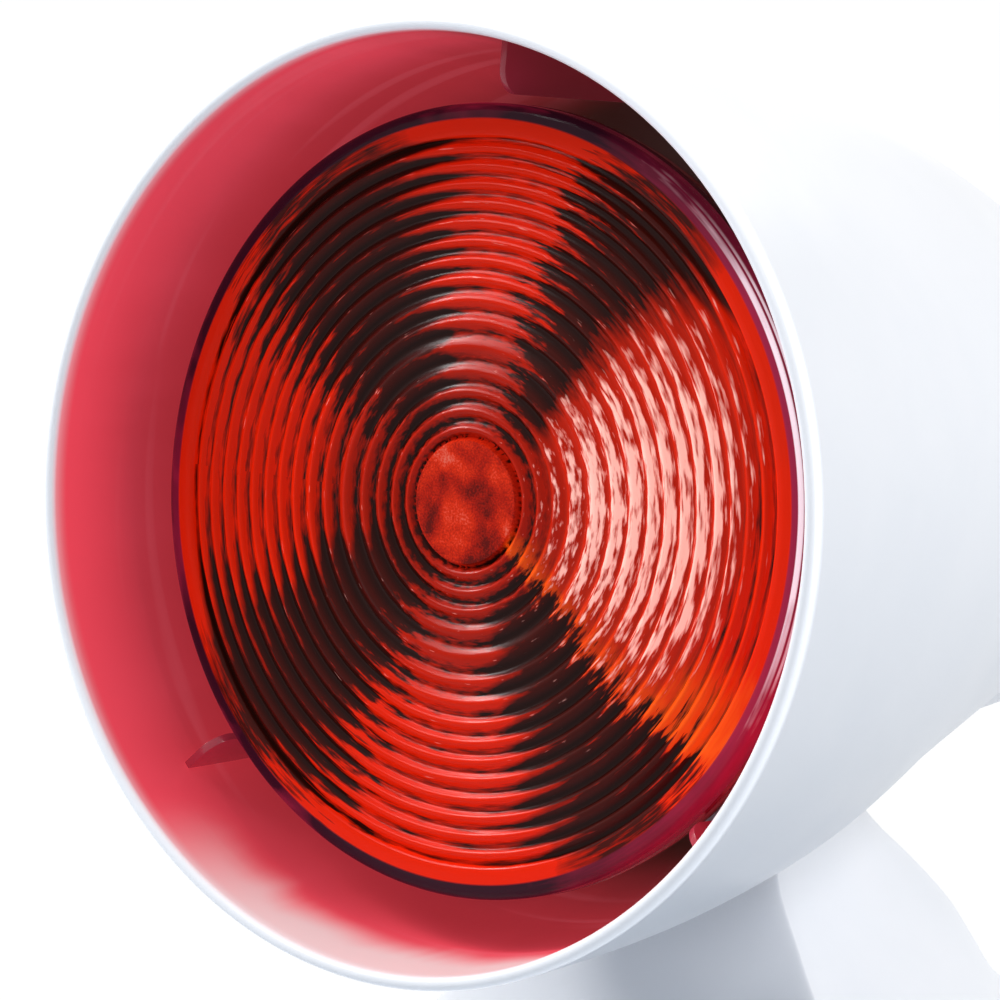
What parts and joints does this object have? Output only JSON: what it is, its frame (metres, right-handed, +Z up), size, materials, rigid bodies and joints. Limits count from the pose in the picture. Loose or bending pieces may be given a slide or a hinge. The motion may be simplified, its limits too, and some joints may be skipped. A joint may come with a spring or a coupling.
{
  "type": "infrared heat therapy lamp",
  "caption": "Tabletop infrared heat lamp: a bell-shaped shade round a ruby pressed-glass reflector bulb, tilting on a flared pedestal with a rocker switch.",
  "frame": {"origin": "on the table, under the middle of the lamp's box", "axes": "+Z up, the lamp shines towards -Y, +X to the right when the lamp is seen from the front"},
  "size_m": [0.1466, 0.1936, 0.198],
  "materials": {
    "white_head": "smooth gloss",
    "white_stand": "smooth gloss",
    "grey_base": "fine matt",
    "pad_rubber": "matt",
    "white_rocker": "satin",
    "black_plastic": "satin",
    "friction_washer": "matt fibre",
    "zinc_steel": "bright zinc",
    "ballast_iron": "as cast",
    "cable_sheath": "satin sheath",
    "ruby_glass": "pressed, with rings",
    "bulb_bowl_glass": "smooth, mirrored inside",
    "filament_metal": "dull",
    "cap_brass": "bright",
    "holder_ceramic": "glazed"
  },
  "bodies": {
    "stand": {"stand_shell": "white_stand", "base_plate": "grey_base", "foot_pad_front_left": "pad_rubber", "foot_pad_front_right": "pad_rubber", "foot_pad_rear_left": "pad_rubber", "foot_pad_rear_right": "pad_rubber", "base_screw_front_left": "zinc_steel", "base_screw_front_right": "zinc_steel", "base_screw_rear_left": "zinc_steel", "base_screw_rear_right": "zinc_steel", "ballast_weight": "ballast_iron", "terminal_block": "black_plastic", "stand_cable": "cable_sheath", "switch_lead": "cable_sheath", "cord_gland": "pad_rubber", "switch_housing": "black_plastic", "friction_washer_left": "friction_washer", "friction_washer_right": "friction_washer", "pivot_screw_left": "zinc_steel", "pivot_screw_right": "zinc_steel"},
    "head": {"shade_shell": "white_head", "rear_cover": "white_head", "cover_screw_left": "zinc_steel", "cover_screw_right": "zinc_steel", "holder_body": "holder_ceramic", "holder_sleeve": "cap_brass", "holder_contact": "cap_brass", "holder_screw_left": "zinc_steel", "holder_screw_right": "zinc_steel", "yoke_bracket": "zinc_steel", "frame_screw_left": "zinc_steel", "frame_screw_right": "zinc_steel", "head_cable": "cable_sheath"},
    "bulb_contact": {"bulb_tip": "cap_brass"},
    "bulb": {"bulb_lens": "ruby_glass", "bulb_reflector": "bulb_bowl_glass", "bulb_filament": "filament_metal", "filament_post_left": "filament_metal", "filament_post_right": "filament_metal", "bulb_cap": "cap_brass", "bulb_insulator": "black_plastic"},
    "rocker": {"switch_rocker": "white_rocker"}
  },
  "joints": [
    {"name": "head_tilt", "type": "hinge", "parent": "stand", "child": "head", "pos_m": [0, 0.00873, 0.075], "axis": [-1, 0, 0], "range_deg": [-10, 20]},
    {"name": "bulb_travel", "type": "slide", "parent": "head", "child": "bulb_contact", "axis": [0, -0.9923, 0.1236], "range_m": [0, 0.0181]},
    {"name": "bulb_turn", "type": "hinge", "parent": "bulb_contact", "child": "bulb", "pos_m": [0, -0.08779, 0.12532], "axis": [0, -0.9923, 0.1236], "range_deg": [0, 1800]},
    {"name": "switch_rock", "type": "hinge", "parent": "stand", "child": "rocker", "pos_m": [0, 0.05254, 0.02937], "axis": [1, 0, 0], "range_deg": [0, 12]}
  ],
  "couplings": [
    {"joint": "bulb_travel", "follows": "bulb_turn", "m_per_rad": 0.00057296}
  ]
}
